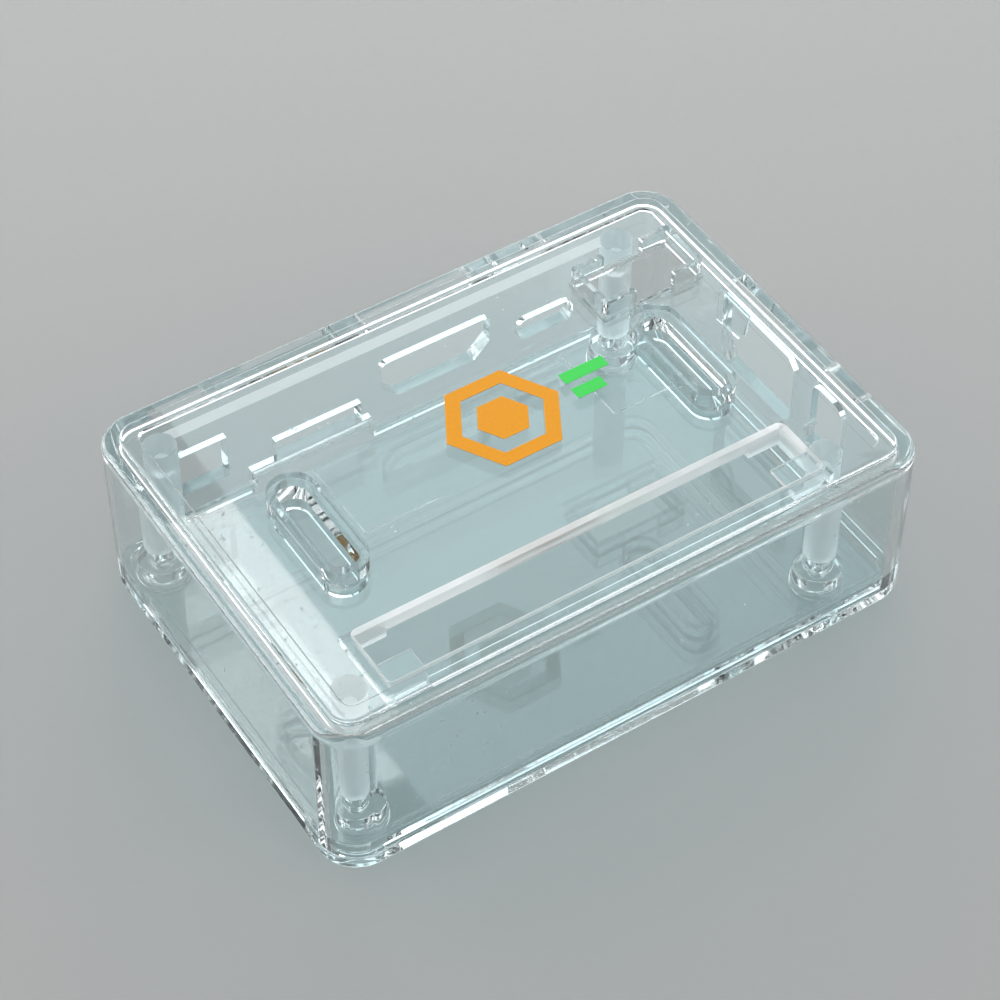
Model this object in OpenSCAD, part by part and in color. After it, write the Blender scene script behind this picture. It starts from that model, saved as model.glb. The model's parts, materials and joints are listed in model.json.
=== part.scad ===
// Clear two-part enclosure for a small single-board computer: a base plate with four screw
// bosses, and a one-piece cover that lifts straight up off it.
// X runs along the case, Y towards the wall with the power and video ports, Z is up.

/* [Case] */
// Outside length of the case, along X
case_l = 79; // [78:0.5:84]
// Outside width of the case, along Y
case_w = 55.4; // [55:0.2:60]
// Outside height of the closed case
case_h = 23.5; // [23:0.5:30]
// Plan radius of the outer corners
corner_r = 4.9; // [4.6:0.1:5.4]
// Thickness of the side walls
wall = 1.8; // [1.5:0.1:2.1]
// Thickness of the roof under its recessed panel
roof_t = 1.9; // [1.6:0.1:2.2]

/* [Base plate] */
// Thickness of the base plate
base_t = 2.0; // [1.6:0.1:2.4]
// Radius of the plate's bottom edge
foot_r = 0.5; // [0.3:0.1:0.7]
// Height of the locating rib above the plate
rib_h = 1.3; // [0.8:0.1:1.6]
// Thickness of the locating rib
rib_t = 1.0; // [0.8:0.1:1.4]
// Height of the tongue that closes the wall below the memory-card slot
tongue_h = 3.0; // [2.4:0.1:3.4]

/* [Roof] */
// Width of the lower shoulder round the roof
shoulder_w = 2.1; // [1.8:0.1:2.4]
// Depth of the shoulder below the top plane
shoulder_drop = 0.5; // [0.3:0.1:0.7]
// Radius of the shoulder's outer edge
edge_r = 0.8; // [0.5:0.1:1]
// Distance from the outer face to the recessed panel
panel_inset = 4.3; // [4:0.1:4.5]
// Depth of the recessed panel
panel_drop = 0.25; // [0.2:0.05:0.3]
// Radius where the walls meet the underside of the roof
inner_r = 1.0; // [0.6:0.1:1.4]
// Height of the rims that stand on the panel round the roof port and the cable slots
rim_h = 1.9; // [1.4:0.1:2.2]
// Thickness of the rim round the roof port
rim_t = 0.8; // [0.7:0.1:1]
// Depth of the chamfer round the header slot
slot_chamfer = 0.5; // [0.3:0.1:0.7]

/* [Screw posts] */
// Spacing of the posts along X
post_dx = 63; // [63:0.5:64]
// Spacing of the posts along Y
post_dy = 42; // [42:0.5:43]
// Diameter of a cover post
post_d = 4.0; // [3.6:0.1:4.4]
// Diameter of the pilot hole in a cover post
pilot_d = 1.7; // [1.4:0.1:2]
// Diameter of a base boss
boss_d = 5.9; // [5.4:0.1:6.4]
// Height of a base boss above the plate, where the board rests
boss_h = 2.0; // [1.6:0.1:2.4]
// Diameter of the stub that locates the board's hole
stub_d = 3.0; // [2.8:0.1:3.2]
// Diameter of the clearance hole for the screw
screw_d = 2.1; // [1.8:0.1:2.2]
// Diameter of the recess for the screw head
head_d = 6.4; // [5.6:0.1:6.8]

/* [Board] */
// Thickness of the board that the case holds
board_t = 1.6; // [1.2:0.1:2]

/* [Hidden] */

$fn = 96;
cut = 1;                                  // how far a cutter runs past the face that it opens
seam_gap = 0.1;                           // between the base plate and the cover's lower edge
fit_gap = 0.1;                            // between the rib and the walls
seam_z = base_t + seam_gap;
shoulder_z = case_h - shoulder_drop;
panel_z = case_h - panel_drop;
roof_z = panel_z - roof_t;                // underside of the roof
post_centre = [-1.8, 0.6];
post_places = [for (sx = [-1, 1], sy = [-1, 1]) post_centre + [sx * post_dx, sy * post_dy] / 2];
post_gap = 0.5;                           // between a stub's end and the post above it
stub_h = boss_h + board_t + 0.2;
post_foot_z = base_t + stub_h + post_gap;
pilot_l = 11;
head_depth = 1.2;

// Memory-card slot and the notch that the base plate's tongue fills, in the back wall
tongue_x = [-19.8, -3.2];
card_x = [-16.4, -4.4];
card_top = 8.3;

// Openings in the roof: [low x, high x], [low y, high y]
header_x = [-29.4, 27.4];
header_y = [-22.4, -14.9];
usb_x = [21.2, 33.9];
usb_y = [11.2, 17.3];
usb_gap = [24.9, 30.5];                   // where the port's rim is open, along X
vent_w = 3.9;
vent_t = 1;
vents = [[-25.35, -0.5, 14.8], [23.95, -0.4, 15]];   // [centre x, centre y, length]
clear = [0.86, 0.92, 0.94, 0.45];

// Shapes -------------------------------------------------------------------------------------

module rounded_rect(l, w, r) {
    square([l - 2 * r, w], center = true);
    square([l, w - 2 * r], center = true);
    for (sx = [-1, 1], sy = [-1, 1])
        translate([sx * (l / 2 - r), sy * (w / 2 - r)]) circle(r);
}

// A slab with rounded corners. Its child is the edge's section: x is 0 at the corner's centre.
module edged_slab(l, w, r, core_z, core_h) {
    translate([-(l / 2 - r), -(w / 2 - r), core_z]) cube([l - 2 * r, w - 2 * r, core_h]);
    for (k = [0:3]) {
        a = k % 2 == 0 ? l : w;
        b = k % 2 == 0 ? w : l;
        rotate([0, 0, 90 * k]) translate([a / 2 - r, b / 2 - r, 0]) {
            rotate([90, 0, 0]) linear_extrude(b - 2 * r) children();
            rotate_extrude(angle = 90) children();
        }
    }
}

// Section from x = 0 to x, z0 to z1, with its upper outer corner rounded
module top_rounded(x, z0, z1, r) {
    translate([0, z0]) square([x - r, z1 - z0]);
    translate([0, z0]) square([x, z1 - z0 - r]);
    translate([x - r, z1 - r]) circle(r);
}

module obround(l, w) {
    square([w, l - w], center = true);
    for (s = [-1, 1]) translate([0, s * (l - w) / 2]) circle(w / 2);
}

module box_between(x, y, z) {
    translate([x[0], y[0], z[0]]) cube([x[1] - x[0], y[1] - y[0], z[1] - z[0]]);
}

module rect_between(x, y) {
    translate([x[0], y[0]]) square([x[1] - x[0], y[1] - y[0]]);
}

// Cuts its child's outline, drawn in x and z, through the back wall
module through_back() {
    translate([0, case_w / 2 + cut, 0]) rotate([90, 0, 0]) linear_extrude(wall + 2 * cut) children();
}

// Cuts its child's outline, drawn in y and z, through the right wall
module through_right() {
    translate([case_l / 2 - wall - cut, 0, 0]) rotate([90, 0, 90])
        linear_extrude(wall + 2 * cut) children();
}

module at_posts() {
    for (p = post_places) translate([p[0], p[1], 0]) children();
}

// Base plate ---------------------------------------------------------------------------------

module plate_slab() {
    edged_slab(case_l, case_w, corner_r, 0, base_t)
        translate([0, base_t]) mirror([0, 1]) top_rounded(corner_r, 0, base_t, foot_r);
}

module locating_rib() {
    l = case_l - 2 * (wall + fit_gap);
    w = case_w - 2 * (wall + fit_gap);
    r = corner_r - wall - fit_gap;
    translate([0, 0, base_t - 0.5]) linear_extrude(rib_h + 0.5) difference() {
        rounded_rect(l, w, r);
        rounded_rect(l - 2 * rib_t, w - 2 * rib_t, r - rib_t);
    }
}

module tongue() {
    inside = case_w / 2 - wall - fit_gap - rib_t;
    box_between(tongue_x, [inside, case_w / 2], [base_t - 0.5, base_t + tongue_h]);
}

// Two thin raised pads on the floor
module floor_pads() {
    pad_h = 0.2;
    box_between([-12.2, -1.4], [12.4, 24.9], [base_t - 0.5, base_t + pad_h]);
    box_between([23.9, 35.4], [12.5, 24.9], [base_t - 0.5, base_t + pad_h]);
}

module boss_solid() {
    translate([0, 0, base_t - 0.5]) {
        cylinder(d = boss_d, h = boss_h + 0.5);
        cylinder(d = stub_d + 0.6, h = boss_h + 0.7);
        cylinder(d = stub_d, h = stub_h + 0.5);
    }
}

module boss_bore() {
    translate([0, 0, -cut]) {
        cylinder(d = screw_d, h = base_t + stub_h + 2 * cut);
        cylinder(d = head_d, h = head_depth + cut);
    }
}

module base_plate() {
    color(clear) difference() {
        union() {
            plate_slab();
            locating_rib();
            tongue();
            floor_pads();
            at_posts() boss_solid();
        }
        at_posts() boss_bore();
    }
}

// Cover --------------------------------------------------------------------------------------

module cover_outside() {
    edged_slab(case_l, case_w, corner_r, seam_z, case_h - seam_z) {
        union() {
            top_rounded(corner_r, seam_z, shoulder_z, edge_r);
            top_rounded(corner_r - shoulder_w, seam_z, case_h, 0.4);
        }
    }
}

module cover_inside() {
    r = corner_r - wall;
    edged_slab(case_l - 2 * wall, case_w - 2 * wall, r, seam_z - cut, roof_z - seam_z + cut)
        top_rounded(r, seam_z - cut, roof_z, inner_r);
}

// Sloping-sided recess that leaves the raised band round the roof
module panel_recess() {
    r = 1.2;
    lip = panel_drop + cut;
    edged_slab(case_l - 2 * panel_inset, case_w - 2 * panel_inset, r, panel_z, lip)
        polygon([[0, panel_z], [r, panel_z], [r + lip, panel_z + lip], [0, panel_z + lip]]);
}

module back_ports() {
    through_back() {
        rect_between([-30.2, -22.8], [6.3, 12.8]);
        rect_between(card_x, [base_t + tongue_h - 1, card_top]);
        rect_between([tongue_x[0] - fit_gap, tongue_x[1] + fit_gap], [0, base_t + tongue_h + fit_gap]);
        video_port([-1.4, 14.2], [6.7, 13.0]);
        translate([22.45, 8]) rounded_rect(8.1, 3.3, 1.2);
    }
}

// Video socket outline: cut lower corners and small rounded upper ones
module video_port(x, z) {
    cut_x = 2.4;
    cut_z = 2.3;
    r = 0.8;
    polygon([[x[0] + cut_x, z[0]], [x[1] - cut_x, z[0]], [x[1], z[0] + cut_z], [x[1], z[1] - r],
             [x[0], z[1] - r], [x[0], z[0] + cut_z]]);
    rect_between([x[0] + r, x[1] - r], [z[0] + cut_z, z[1]]);
    for (c = [x[0] + r, x[1] - r]) translate([c, z[1] - r]) circle(r);
}

module right_ports() {
    through_right() {
        network_port([-4.4, 9.8], [7, 17.6]);
        side_port([-14, -7.2], [7.4, 17.4]);
    }
}

module network_port(y, z) {
    c = 1.2;
    polygon([[y[0] + c, z[0]], [y[1] - c, z[0]], [y[1], z[0] + 2 * c], [y[1], z[1]],
             [y[0] + c, z[1]], [y[0], z[1] - c], [y[0], z[0] + c]]);
}

// Tall socket outline with a rounded head
module side_port(y, z) {
    r = 2.2;
    rect_between(y, [z[0], z[1] - r]);
    rect_between([y[0] + r, y[1] - r], [z[0], z[1]]);
    for (c = [y[0] + r, y[1] - r]) translate([c, z[1] - r]) circle(r);
}

module roof_openings() {
    translate([0, 0, roof_z - 8]) linear_extrude(case_h - roof_z + 12) {
        rect_between(header_x, header_y);
        rect_between(usb_x, usb_y);
        for (v = vents) translate([v[0], v[1]]) obround(v[2], vent_w);
    }
    header_chamfer();
    usb_notch();
}

// Sloping edge round the top of the header slot
module header_chamfer() {
    c = slot_chamfer;
    l = header_x[1] - header_x[0] + 2 * c;
    w = header_y[1] - header_y[0] + 2 * c;
    translate([(header_x[0] + header_x[1]) / 2, (header_y[0] + header_y[1]) / 2, 0])
        edged_slab(l, w, 2 * c, panel_z - c, c + 0.2)
            polygon([[0, panel_z - c], [c, panel_z - c], [2 * c, panel_z], [2 * c, panel_z + 0.2],
                     [0, panel_z + 0.2]]);
}

// Opens the front of the roof port between the two halves of its rim
module usb_notch() {
    box_between(usb_gap, [usb_y[0] - rim_t + 0.2, usb_y[0] + cut], [roof_z - cut, case_h + rim_h]);
}

// Thinner patch of roof under the port's rim
module usb_pocket() {
    translate([0, 0, roof_z - cut]) linear_extrude(cut + roof_t - 0.95) grown(usb_x, usb_y, rim_t);
}

// The port's rim: a wall with rounded outer corners, open at the front and at the back
module usb_rim() {
    centre = [(usb_x[0] + usb_x[1]) / 2, (usb_y[0] + usb_y[1]) / 2];
    l = usb_x[1] - usb_x[0] + 2 * rim_t;
    w = usb_y[1] - usb_y[0] + 2 * rim_t;
    translate([0, 0, panel_z - 0.5]) linear_extrude(rim_h + 0.5) difference() {
        translate(centre) rounded_rect(l, w, rim_t);
        rect_between(usb_gap, [usb_y[0] - 2 * rim_t, usb_y[1] + 2 * rim_t]);
    }
}

// Collars that stand round the cable slots
module vent_rims() {
    for (v = vents) translate([v[0], v[1], panel_z - 0.5]) linear_extrude(rim_h + 0.5)
        obround(v[2] + 2 * vent_t, vent_w + 2 * vent_t);
}

// Skirts that hang from the roof round its openings
module hanging(depth) {
    translate([0, 0, roof_z - depth]) linear_extrude(depth + 0.5) children();
}

module grown(x, y, by) {
    rect_between([x[0] - by, x[1] + by], [y[0] - by, y[1] + by]);
}

module header_skirt() {
    t = 1.15;
    hanging(0.2) grown(header_x, header_y, t);
    hanging(1.3) for (x = [[header_x[0] - t, header_x[0] + 4.1], [header_x[1] - 4.3, header_x[1] + t]])
        rect_between(x, [header_y[0] - t, header_y[1] + t]);
}

// Thin tabs in the header slot's front corners
module header_tabs() {
    y = [header_y[0] - 0.3, -19.7];
    z = [panel_z - 0.9, panel_z - 0.3];
    box_between([header_x[0] - 0.3, header_x[0] + 4.2], y, z);
    box_between([header_x[1] - 4.9, header_x[1] + 0.3], y, z);
}

module vent_skirts() {
    t = 0.7;
    for (v = vents) translate([v[0], v[1], 0]) hanging(1.4) obround(v[2] + 2 * t, vent_w + 2 * t);
}

// Thin web across the upper back corner of the network port
module port_web() {
    translate([case_l / 2 - wall - 0.3, 0, 0]) rotate([90, 0, 90]) linear_extrude(0.6)
        polygon([[10.6, 12.8], [9, 12.9], [6.2, 13.1], [5.4, 14.1], [4.5, 18.2], [10.6, 18.2]]);
}

module post_solid() {
    translate([0, 0, post_foot_z]) cylinder(d = post_d, h = roof_z - post_foot_z + 0.5);
}

module post_bore() {
    translate([0, 0, post_foot_z - cut]) cylinder(d = pilot_d, h = pilot_l + cut);
}

module cover_shell() {
    color(clear) union() {
        difference() {
            union() {
                difference() {
                    cover_outside();
                    cover_inside();
                    panel_recess();
                    usb_pocket();
                }
                header_skirt();
                usb_rim();
                vent_rims();
                vent_skirts();
                at_posts() post_solid();
            }
            roof_openings();
            back_ports();
            right_ports();
            at_posts() post_bore();
        }
        header_tabs();
        port_web();
    }
}

// Badge printed on the roof ------------------------------------------------------------------

badge_centre = [1.4, 3.2];
badge_r = 7.6;
ink_t = 0.08;

module ink(c) {
    color(c) translate([badge_centre[0], badge_centre[1], panel_z]) linear_extrude(ink_t) children();
}

module hexagon(r) {
    polygon([for (k = [0:5]) r * [cos(60 * k), sin(60 * k)]]);
}

module badge_hexagon() {
    ink("darkorange") difference() {
        hexagon(badge_r);
        hexagon(badge_r - 2.1);
    }
}

module badge_core() {
    ink("darkorange") hexagon(3.4);
}

// One of the two level green bars beside the hexagon
module accent_bar(y, l) {
    ink([0.1, 0.75, 0.3]) translate([badge_r + 1.4, y]) square([l, 1.7]);
}

module badge_bar_long() {
    accent_bar(0.5, 6);
}

module badge_bar_short() {
    accent_bar(-2.2, 4);
}

base_plate();
cover_shell();
badge_hexagon();
badge_core();
badge_bar_long();
badge_bar_short();
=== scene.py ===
"""Clear two-part case for a small single-board computer: a base plate and a lift-off cover."""

import json
import math

import bmesh
import bpy
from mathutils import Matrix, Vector

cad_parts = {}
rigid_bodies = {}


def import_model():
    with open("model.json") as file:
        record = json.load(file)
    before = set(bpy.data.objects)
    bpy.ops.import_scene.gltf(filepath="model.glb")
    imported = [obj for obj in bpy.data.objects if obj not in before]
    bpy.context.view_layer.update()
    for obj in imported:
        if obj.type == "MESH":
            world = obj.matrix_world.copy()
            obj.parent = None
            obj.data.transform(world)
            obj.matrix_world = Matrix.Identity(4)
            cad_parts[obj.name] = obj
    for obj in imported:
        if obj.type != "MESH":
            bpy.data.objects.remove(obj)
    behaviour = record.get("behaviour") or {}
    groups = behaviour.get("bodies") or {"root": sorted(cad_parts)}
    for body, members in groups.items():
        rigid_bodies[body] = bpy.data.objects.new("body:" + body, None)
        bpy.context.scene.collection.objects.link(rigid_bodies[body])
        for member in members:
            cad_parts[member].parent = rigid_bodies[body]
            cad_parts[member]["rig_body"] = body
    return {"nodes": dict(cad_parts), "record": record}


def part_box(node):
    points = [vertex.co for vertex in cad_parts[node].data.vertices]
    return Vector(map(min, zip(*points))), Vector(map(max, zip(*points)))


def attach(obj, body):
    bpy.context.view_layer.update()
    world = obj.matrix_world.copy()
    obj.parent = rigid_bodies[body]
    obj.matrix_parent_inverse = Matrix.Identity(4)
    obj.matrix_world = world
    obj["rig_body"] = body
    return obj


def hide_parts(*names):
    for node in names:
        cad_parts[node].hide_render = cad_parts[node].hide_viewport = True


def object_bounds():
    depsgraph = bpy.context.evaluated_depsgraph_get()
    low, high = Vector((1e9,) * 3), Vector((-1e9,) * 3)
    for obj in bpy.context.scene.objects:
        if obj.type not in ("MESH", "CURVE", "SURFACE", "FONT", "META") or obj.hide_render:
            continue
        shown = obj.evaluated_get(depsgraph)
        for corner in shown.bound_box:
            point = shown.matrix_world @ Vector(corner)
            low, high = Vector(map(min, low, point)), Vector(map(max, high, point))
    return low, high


MM = 0.001
SAME_POINT = 1e-7  # m; points closer than this are one point

for leftover in list(bpy.data.objects):
    bpy.data.objects.remove(leftover)

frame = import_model()
cad_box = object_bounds()
mounts = {m["name"]: m for m in frame["record"]["mounts"]}
openings = frame["record"]["physics"]["openings"]
panel_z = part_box("badge_core")[0].z  # top face of the roof's recessed panel


# Nodes and materials ------------------------------------------------------------------------

STYRENE_IOR = 1.5


class Material:
    """A node material that is built with short calls."""

    def __init__(self, name):
        self.material = bpy.data.materials.new(name)
        self.material.use_nodes = True
        self.tree = self.material.node_tree
        self.shader = self.tree.nodes["Principled BSDF"]
        self.out = self.tree.nodes["Material Output"]
        self.place = self.node("ShaderNodeTexCoord").outputs["Object"]

    def node(self, kind, inputs=None, **settings):
        made = self.tree.nodes.new(kind)
        for key, value in settings.items():
            setattr(made, key, value)
        for key, value in (inputs or {}).items():
            if isinstance(value, bpy.types.NodeSocket):
                self.tree.links.new(value, made.inputs[key])
            else:
                made.inputs[key].default_value = value
        return made

    def set(self, **values):
        for key, value in values.items():
            socket = self.shader.inputs[key.replace("_", " ")]
            if isinstance(value, bpy.types.NodeSocket):
                self.tree.links.new(value, socket)
            else:
                socket.default_value = value

    def noise(self, scale, detail=2.0, rough=0.5):
        """Noise from 0 to 1 in the object's own space; scale is in waves per metre."""
        inputs = {"Vector": self.place, "Scale": scale, "Detail": detail, "Roughness": rough}
        return self.node("ShaderNodeTexNoise", inputs).outputs["Fac"]

    def between(self, value, low, high, to_low, to_high):
        """Maps low..high to to_low..to_high, and clamps what lies outside."""
        inputs = {0: value, 1: low, 2: high, 3: to_low, 4: to_high}
        return self.node("ShaderNodeMapRange", inputs).outputs[0]

    def add(self, a, b):
        return self.node("ShaderNodeMath", {0: a, 1: b}, operation="ADD").outputs[0]

    def bump(self, height, distance, strength):
        """Relief of a height field; distance is in metres."""
        inputs = {"Height": height, "Distance": distance, "Strength": strength}
        return self.node("ShaderNodeBump", inputs).outputs["Normal"]

    def let_light_through(self, tint):
        """Lamps and light from matt surfaces pass straight through, tinted."""
        through = self.node("ShaderNodeBsdfTransparent", {"Color": (*tint, 1)}).outputs[0]
        path = self.node("ShaderNodeLightPath")
        seen = self.shader.outputs[0]
        for kind in ("Is Shadow Ray", "Is Diffuse Ray"):
            seen = self.node(
                "ShaderNodeMixShader", {0: path.outputs[kind], 1: seen, 2: through}
            ).outputs[0]
        self.tree.links.new(seen, self.out.inputs["Surface"])


def clear_plastic(name, tint, roughness):
    """Polished clear styrene: slight flow waves, faint haze patches and a few fine specks."""
    m = Material(name)
    flow_waves = m.bump(m.noise(55, 2), 0.01 * MM, 0.5)
    haze = m.between(m.noise(60, 3), 0.45, 0.75, roughness, roughness * 2.5)
    specks = m.between(m.noise(1400, 1), 0.70, 0.76, 0.0, 0.25)
    m.set(
        Base_Color=(*tint, 1),
        Roughness=m.add(haze, specks),
        IOR=STYRENE_IOR,
        Transmission_Weight=1.0,
        Normal=flow_waves,
    )
    m.let_light_through(tint)
    return m.material


def frosted_plastic(name, tint, roughness, clearness, grain_scale, relief):
    """The same plastic with a spark-eroded mould finish, on the posts and slot walls."""
    m = Material(name)
    grain = m.noise(grain_scale, 3, 0.7)
    m.set(
        Base_Color=(*tint, 1),
        Roughness=m.between(grain, 0.3, 0.7, roughness * 0.85, roughness * 1.15),
        IOR=STYRENE_IOR,
        Transmission_Weight=clearness,
        Normal=m.bump(grain, relief, 0.6),
    )
    passed = 0.9  # light that gets through, as a share of what clear plastic lets through
    m.let_light_through([c * passed for c in tint])
    return m.material


def ink(name, colour):
    """Pad-printed ink: opaque, slightly satin, with a fine stipple."""
    m = Material(name)
    stipple = m.noise(3000, 2, 0.6)
    darker = [c * 0.93 for c in colour]
    blend = m.between(stipple, 0.3, 0.7, 0.0, 1.0)
    shade = m.node(
        "ShaderNodeMix",
        {"Factor": blend, "A": (*darker, 1), "B": (*colour, 1)},
        data_type="RGBA",
    )
    m.set(
        Base_Color=shade.outputs["Result"],
        Roughness=m.between(stipple, 0.3, 0.7, 0.4, 0.55),
        Specular_IOR_Level=0.25,
        Normal=m.bump(stipple, 0.01 * MM, 0.5),
    )
    return m.material


CLEAR = clear_plastic("clear_plastic", tint=(0.90, 0.95, 0.955), roughness=0.012)
FROSTED = frosted_plastic(
    "frosted_plastic", tint=(0.94, 0.96, 0.965), roughness=0.35, clearness=0.6,
    grain_scale=2500, relief=0.02 * MM,
)
SATIN = frosted_plastic(
    "satin_plastic", tint=(0.90, 0.915, 0.915), roughness=0.4, clearness=0.55,
    grain_scale=400, relief=0.01 * MM,
)
ORANGE = ink("orange_ink", (0.98, 0.39, 0.006))
GREEN = ink("green_ink", (0.068, 0.81, 0.12))


# Pieces -------------------------------------------------------------------------------------


def from_post(point):
    """How far a point is from the axis of the nearest screw post, seen from above."""
    middle = Vector(mounts["screw_holes"]["pos_m"])
    dims = mounts["screw_holes"]["dims"]
    x = abs(point.x - middle.x) - dims["spacing_x_mm"] * MM / 2
    y = abs(point.y - middle.y) - dims["spacing_y_mm"] * MM / 2
    return math.hypot(x, y)


def in_header_slot(point):
    """True inside the outline of the roof's header slot or on the chamfer round it."""
    boxes = [o["box_m"] for o in openings if o["name"].startswith("header_slot")]
    spare = 0.8 * MM  # takes in the chamfer outside the opening's box
    return all(
        min(b[0][k] for b in boxes) - spare < point[k] < max(b[1][k] for b in boxes) + spare
        for k in (0, 1)
    )


def cover_finish(face):
    """0 for polished, 1 for the frosted posts, 2 for the satin walls of the header slot."""
    post_reach = 2.5 * MM
    slot_depth = 3.5 * MM
    steepest_flat = 0.8  # the upward part of a face's normal, above which it isn't a wall
    spots = [v.co for v in face.verts]
    if max(from_post(p) for p in spots) < post_reach and max(p.z for p in spots) < panel_z:
        return 1
    wall = abs(face.normal.z) < steepest_flat and min(p.z for p in spots) > panel_z - slot_depth
    return 2 if wall and in_header_slot(face.calc_center_median()) else 0


def cut_flat_faces(mesh):
    """Splits flat faces across their holes, so that no face has a hole to bevel round."""
    middle = Vector(mounts["screw_holes"]["pos_m"])
    half = mounts["screw_holes"]["dims"]["spacing_y_mm"] * MM / 2
    usb = next(o["box_m"] for o in openings if o["name"] == "roof_usb_port")
    usb_y = (usb[0][1] + usb[1][1]) / 2
    wall_ports_z = 8 * MM
    cuts = [((0, y, 0), (0, 1, 0)) for y in (middle.y - half, 0, usb_y, middle.y + half)]
    cuts.append(((0, 0, wall_ports_z), (0, 0, 1)))
    for place, way in cuts:
        everything = mesh.verts[:] + mesh.edges[:] + mesh.faces[:]
        bmesh.ops.bisect_plane(mesh, geom=everything, dist=SAME_POINT, plane_co=place, plane_no=way)


def softened(name, node, width, materials, finish=lambda face: 0):
    """A copy of a CAD node's shape with its flat faces merged and its sharp edges rounded."""
    body = frame["nodes"][node]["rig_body"]
    still_flat = math.radians(0.3)
    sharp = math.radians(35)
    mesh = bmesh.new()
    mesh.from_mesh(frame["nodes"][node].data)
    bmesh.ops.remove_doubles(mesh, verts=mesh.verts, dist=SAME_POINT)
    bmesh.ops.dissolve_limit(
        mesh, angle_limit=still_flat, verts=mesh.verts, edges=mesh.edges
    )
    cut_flat_faces(mesh)
    for face in mesh.faces:
        face.smooth = True
        face.material_index = finish(face)
    data = bpy.data.meshes.new(name)
    mesh.to_mesh(data)
    mesh.free()
    piece = bpy.data.objects.new(name, data)
    bpy.context.scene.collection.objects.link(piece)
    for material in materials:
        data.materials.append(material)
    bevel = piece.modifiers.new("round_edges", "BEVEL")
    bevel.width = width
    bevel.segments = 3
    bevel.limit_method = "ANGLE"
    bevel.angle_limit = sharp
    bevel.miter_outer = "MITER_ARC"
    flats = piece.modifiers.new("flat_faces", "WEIGHTED_NORMAL")
    flats.keep_sharp = True
    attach(piece, body)
    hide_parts(node)


softened("cover", "cover_shell", 0.12 * MM, [CLEAR, FROSTED, SATIN], cover_finish)
softened("base", "base_plate", 0.09 * MM, [CLEAR])
for badge, slot, material in (
    ("badge_hexagon", "orange_print", ORANGE),
    ("badge_core", "orange_print", ORANGE),
    ("badge_bar_long", "green_print", GREEN),
    ("badge_bar_short", "green_print", GREEN),
):
    softened(badge + "_ink", badge, 0.03 * MM, [material])


# Stage --------------------------------------------------------------------------------------


def make_floor():
    """A pale square of 3 m a side, just below the case so that the two faces don't coincide."""
    half = 1.5
    gap = 0.02 * MM
    data = bpy.data.meshes.new("floor")
    corners = [(-half, -half, 0), (half, -half, 0), (half, half, 0), (-half, half, 0)]
    data.from_pydata(corners, [], [(0, 1, 2, 3)])
    floor = bpy.data.objects.new("floor", data)
    bpy.context.scene.collection.objects.link(floor)
    floor.location.z = cad_box[0].z - gap
    m = Material("floor")
    grain = m.noise(900, 2)
    m.set(
        Base_Color=(0.45, 0.45, 0.445, 1),
        Roughness=m.between(grain, 0.3, 0.7, 0.5, 0.65),
    )
    data.materials.append(m.material)


def area_light(name, place, target, size, power, colour=(1, 1, 1)):
    """A rectangular softbox; places and sizes in metres, power in watts."""
    light = bpy.data.lights.new(name, "AREA")
    light.shape = "RECTANGLE"
    light.size, light.size_y = size
    light.energy = power
    light.color = colour
    holder = bpy.data.objects.new(name, light)
    bpy.context.scene.collection.objects.link(holder)
    holder.location = place
    holder.rotation_euler = (Vector(target) - Vector(place)).to_track_quat("-Z", "Y").to_euler()


make_floor()
# The camera sees the wide softbox mirrored in most of the roof, and the window in its left end
area_light("softbox", (0.52, 0.72, 0.80), (0.52, 0.72, 0), (0.50, 0.50), 1.3, (0.80, 0.96, 1))
area_light("window", (0.195, 0.575, 0.80), (0.195, 0.575, 0), (0.15, 0.15), 0.32)
# Low lights at the sides and the back brighten the edges, and the fill lights the front wall
area_light("rim_left", (-0.66, 0.50, 0.34), (0, 0, 0.01), (1.2, 0.70), 5.6)
area_light("rim_back", (0.10, 0.90, 0.25), (0, 0, 0.01), (1.3, 0.50), 5.4)
area_light("rim_right", (0.76, 0.40, 0.34), (0, 0, 0.01), (1.2, 0.70), 4.2)
area_light("front_fill", (0.38, -0.68, 0.52), (0, 0, 0), (1.4, 0.35), 4.5)


def soft_world():
    """A pale backdrop all round, which fades to a dim ceiling."""
    backdrop, ceiling = 0.85, 0.15
    fade_from, fade_to = 0.05, 0.5  # sine of the height above the horizon
    made = bpy.data.worlds.new("soft_studio")
    made.use_nodes = True
    nodes, links = made.node_tree.nodes, made.node_tree.links
    up = nodes.new("ShaderNodeSeparateXYZ")
    links.new(nodes.new("ShaderNodeTexCoord").outputs["Generated"], up.inputs[0])
    fade = nodes.new("ShaderNodeMapRange")
    links.new(up.outputs["Z"], fade.inputs["Value"])
    limits = {"From Min": fade_from, "From Max": fade_to, "To Min": backdrop, "To Max": ceiling}
    for key, value in limits.items():
        fade.inputs[key].default_value = value
    links.new(fade.outputs[0], nodes["Background"].inputs["Strength"])
    nodes["Background"].inputs["Color"].default_value = (0.95, 0.98, 1, 1)
    return made


scene = bpy.context.scene
scene.world = soft_world()
scene.view_settings.view_transform = "Standard"
scene.cycles.max_bounces = 40
scene.cycles.transmission_bounces = 40
scene.cycles.glossy_bounces = 24
scene.cycles.transparent_max_bounces = 32
scene.cycles.caustics_reflective = False
scene.cycles.caustics_refractive = False

# A long lens, looking down at the case from its front left
lens = bpy.data.cameras.new("camera")
lens.sensor_width = 36
lens.lens = 106.9
lens.clip_start = 0.01
camera = bpy.data.objects.new("camera", lens)
scene.collection.objects.link(camera)
camera.location = Vector((-126.15, -193.51, 269.07)) * MM
aim = Vector((5.62, 10.35, 0)) * MM
camera.rotation_euler = (aim - camera.location).to_track_quat("-Z", "Y").to_euler()
scene.camera = camera
